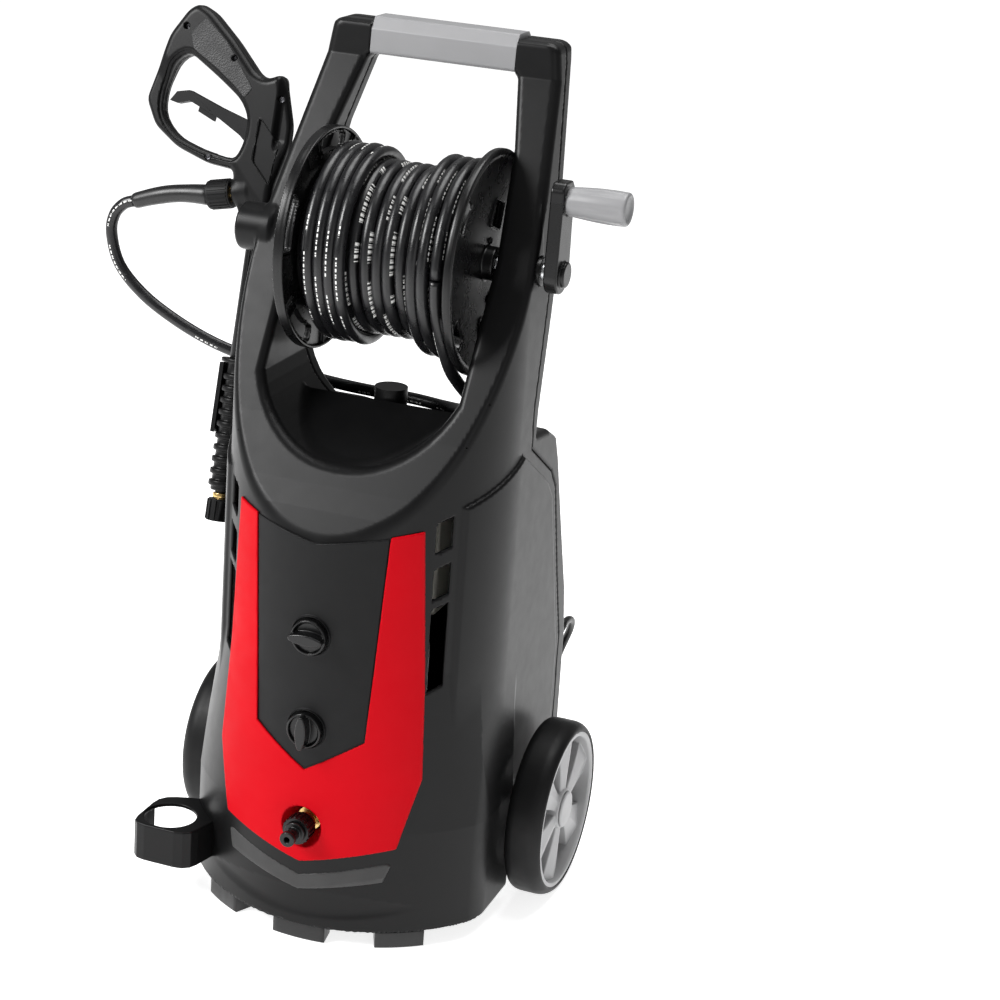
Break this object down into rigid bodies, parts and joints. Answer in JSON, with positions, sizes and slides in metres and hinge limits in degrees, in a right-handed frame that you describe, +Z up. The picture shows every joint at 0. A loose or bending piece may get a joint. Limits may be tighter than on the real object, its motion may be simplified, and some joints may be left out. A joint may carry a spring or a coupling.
{
  "type": "pressure washer",
  "caption": "Upright electric pressure washer on two wheels, with a crank-wound hose reel between its handle arms and a spray gun and lance held at its side.",
  "frame": {"origin": "on the floor, on the plane of symmetry, under the middle of the front foot", "axes": "+Z up, +Y to the machine's rear, +X to the right as seen from the front"},
  "size_m": [0.5942, 0.579, 0.905],
  "materials": {
    "black_plastic": "fine moulded grain",
    "dark_plastic": "fine moulded grain",
    "gloss_black": "smooth",
    "red_plastic": "satin",
    "grey_plastic": "satin",
    "white_plastic": "plain",
    "tyre": "dull",
    "rubber": "satin",
    "steel": "bright",
    "brass": "turned",
    "aluminium": "cast",
    "motor_metal": "laminated"
  },
  "bodies": {
    "frame": {"front_shell": "black_plastic", "rear_shell": "black_plastic", "red_panel": "red_plastic", "control_panel": "dark_plastic", "bumper_strip": "dark_plastic", "handle_tube": "steel", "handle_grip": "grey_plastic", "chassis": "dark_plastic", "feet": "rubber", "lance_ring": "black_plastic", "lance_clip": "black_plastic", "axle": "steel", "axle_clips": "steel", "reel_bushes": "white_plastic", "hose_free": "rubber", "inlet_fitting": "brass", "inlet_nipple": "gloss_black", "motor_stator": "motor_metal", "pump_body": "aluminium", "pump_pistons": "steel", "detergent_tank": "white_plastic", "shell_screws": "steel", "cord_gland": "rubber", "power_cord": "rubber", "cord_coil": "rubber", "plug": "gloss_black"},
    "left_wheel": {"tyre_left": "tyre", "rim_left": "grey_plastic", "hub_cap_left": "grey_plastic"},
    "right_wheel": {"tyre_right": "tyre", "rim_right": "grey_plastic", "hub_cap_right": "grey_plastic"},
    "reel": {"reel_drum": "gloss_black", "reel_flange_left": "gloss_black", "reel_flange_right": "gloss_black", "reel_shaft": "steel", "hose_winding": "rubber", "crank_arm": "black_plastic", "crank_pin": "steel"},
    "crank_grip": {"crank_grip": "grey_plastic"},
    "gun": {"gun_left_half": "black_plastic", "gun_right_half": "black_plastic", "gun_valve": "brass", "gun_screws": "steel", "trigger_pin": "steel", "lance_barrel": "black_plastic", "lance_sleeve": "black_plastic", "lance_nozzle": "brass", "hose_sleeve": "rubber"},
    "trigger": {"trigger": "dark_plastic"},
    "latch": {"safety_latch": "dark_plastic"},
    "nozzle_nut": {"nozzle_nut": "dark_plastic"},
    "hose_nut": {"hose_nut": "dark_plastic"},
    "upper_knob": {"upper_knob": "gloss_black"},
    "lower_knob": {"lower_knob": "gloss_black"},
    "cap_seal": {"cap_seal": "rubber"},
    "cap": {"detergent_cap": "black_plastic"},
    "inlet_nut": {"inlet_nut": "gloss_black"},
    "rotor": {"motor_rotor": "steel", "motor_fan": "white_plastic"}
  },
  "joints": [
    {"name": "left_wheel_spin", "type": "hinge", "parent": "frame", "child": "left_wheel", "pos_m": [-0.189, 0.224, 0.095], "axis": [1, 0, 0], "continuous": true},
    {"name": "right_wheel_spin", "type": "hinge", "parent": "frame", "child": "right_wheel", "pos_m": [0.189, 0.224, 0.095], "axis": [1, 0, 0], "continuous": true},
    {"name": "reel_spin", "type": "hinge", "parent": "frame", "child": "reel", "pos_m": [0, 0.167, 0.692], "axis": [1, 0, 0], "continuous": true},
    {"name": "crank_grip_spin", "type": "hinge", "parent": "reel", "child": "crank_grip", "pos_m": [0.2, 0.167, 0.765], "axis": [1, 0, 0], "continuous": true},
    {"name": "gun_lift", "type": "slide", "parent": "frame", "child": "gun", "axis": [0, 0.2419, 0.9703], "range_m": [0, 0.06]},
    {"name": "trigger_pull", "type": "hinge", "parent": "gun", "child": "trigger", "pos_m": [-0.195, 0.2398, 0.76445], "axis": [0, 0.9703, -0.2419], "range_deg": [0, 14], "stiffness_Nm_per_rad": 0.6, "springref_deg": -5.73},
    {"name": "latch_flip", "type": "hinge", "parent": "trigger", "child": "latch", "pos_m": [-0.253, 0.24501, 0.78531], "axis": [0, -0.9703, 0.2419], "range_deg": [0, 16]},
    {"name": "nozzle_turn", "type": "hinge", "parent": "gun", "child": "nozzle_nut", "pos_m": [-0.18, 0.14642, 0.38991], "axis": [0, 0.2419, 0.9703], "range_deg": [-90, 90]},
    {"name": "hose_nut_spin", "type": "hinge", "parent": "gun", "child": "hose_nut", "pos_m": [-0.21, 0.22602, 0.70914], "axis": [-0.9781, -0.0503, -0.2017], "continuous": true},
    {"name": "upper_knob_turn", "type": "hinge", "parent": "frame", "child": "upper_knob", "pos_m": [0, -0.012, 0.338], "axis": [0, 1, 0], "range_deg": [0, 90]},
    {"name": "lower_knob_turn", "type": "hinge", "parent": "frame", "child": "lower_knob", "pos_m": [0, -0.012, 0.238], "axis": [0, 1, 0], "range_deg": [0, 270]},
    {"name": "cap_lift", "type": "slide", "parent": "frame", "child": "cap_seal", "axis": [0, 0, 1], "range_m": [0, 0.03]},
    {"name": "cap_turn", "type": "hinge", "parent": "cap_seal", "child": "cap", "pos_m": [0, 0.163, 0.54], "axis": [0, 0, 1], "range_deg": [0, 90]},
    {"name": "inlet_nut_spin", "type": "hinge", "parent": "frame", "child": "inlet_nut", "pos_m": [0, -0.015, 0.13], "axis": [0, 1, 0], "continuous": true},
    {"name": "motor_spin", "type": "hinge", "parent": "frame", "child": "rotor", "pos_m": [0, 0.16, 0.2], "axis": [0, 0, 1], "continuous": true}
  ]
}
